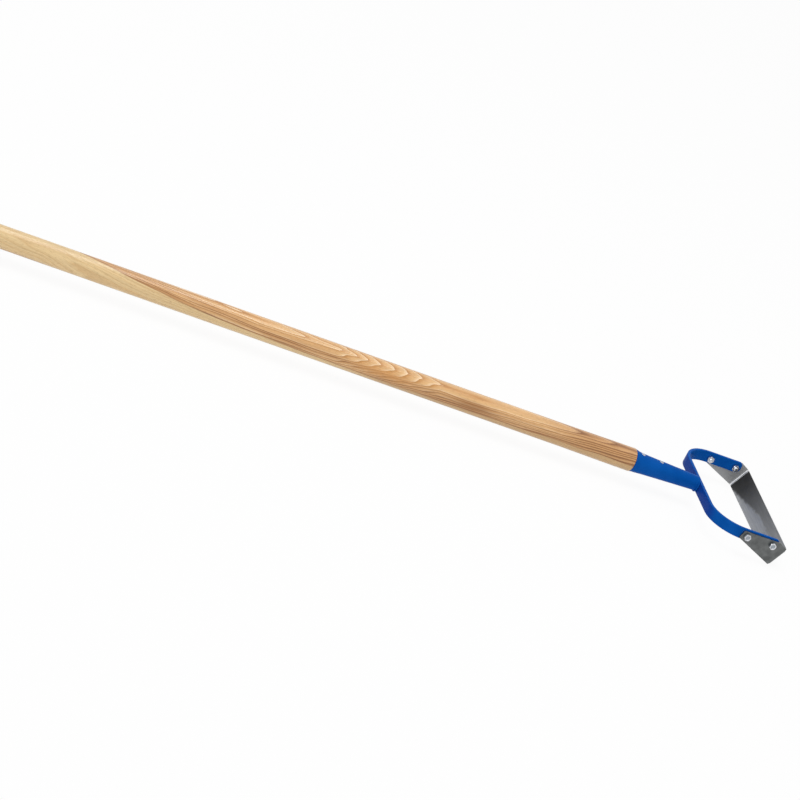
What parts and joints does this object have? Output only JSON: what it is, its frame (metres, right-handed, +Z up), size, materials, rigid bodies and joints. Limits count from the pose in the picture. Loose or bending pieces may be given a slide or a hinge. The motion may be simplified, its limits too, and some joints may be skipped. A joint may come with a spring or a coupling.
{
  "type": "scraper hoe",
  "caption": "Long-handled scraper hoe: ash handle in a blue rolled socket, a flat-bar stirrup welded across its nose, and a folded steel blade bolted to the stirrup's arms.",
  "frame": {"origin": "on the floor, under the middle of the tool's length, with the handle level above it", "axes": "+X along the handle from its butt to the blade, +Z up from the blade's lower edge, +Y to the left"},
  "size_m": [1.6192, 0.2082, 0.0436],
  "materials": {
    "lacquered_ash": "clear gloss lacquer over long straight grain",
    "blue_enamel": "semi-gloss blue enamel",
    "blade_steel": "rolled and ground spring steel, satin",
    "zinc_plate": "bright zinc plate"
  },
  "bodies": {
    "root": {"handle": "lacquered_ash", "socket": "blue_enamel", "socket_screw_1": "zinc_plate", "socket_screw_2": "zinc_plate", "stirrup": "blue_enamel", "weld_bead": "blue_enamel", "blade": "blade_steel", "bolt_left_1": "zinc_plate", "bolt_left_2": "zinc_plate", "bolt_right_1": "zinc_plate", "bolt_right_2": "zinc_plate", "nut_left_1": "zinc_plate", "nut_left_2": "zinc_plate", "nut_right_1": "zinc_plate", "nut_right_2": "zinc_plate"}
  },
  "joints": []
}
